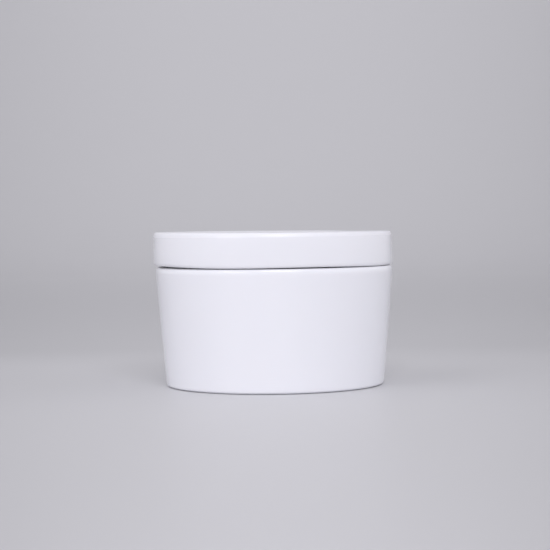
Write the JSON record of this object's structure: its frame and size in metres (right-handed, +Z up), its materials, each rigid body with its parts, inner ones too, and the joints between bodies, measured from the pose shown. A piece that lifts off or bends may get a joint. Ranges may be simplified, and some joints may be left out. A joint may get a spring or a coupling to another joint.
{
  "type": "lidded porcelain pot",
  "caption": "Low round white porcelain pot with a slightly tapered wall, flush foot ring and a flat cap lid that lifts straight off.",
  "frame": {"origin": "centre of the foot ring's resting plane", "axes": "+Z up along the pot's axis, out of the lid's flat top; the lid rests 0.4 mm off centre towards -X"},
  "size_m": [0.0946, 0.0946, 0.0603],
  "materials": {
    "glazed_porcelain": "clear glossy glaze over cool white porcelain, bare on the foot ring and on the two seats"
  },
  "bodies": {
    "pot": {"pot": "glazed_porcelain"},
    "lid": {"lid": "glazed_porcelain"}
  },
  "joints": [
    {"name": "lid_lift", "type": "slide", "parent": "pot", "child": "lid", "axis": [0, 0, 1], "range_m": [0, 0.06]}
  ]
}
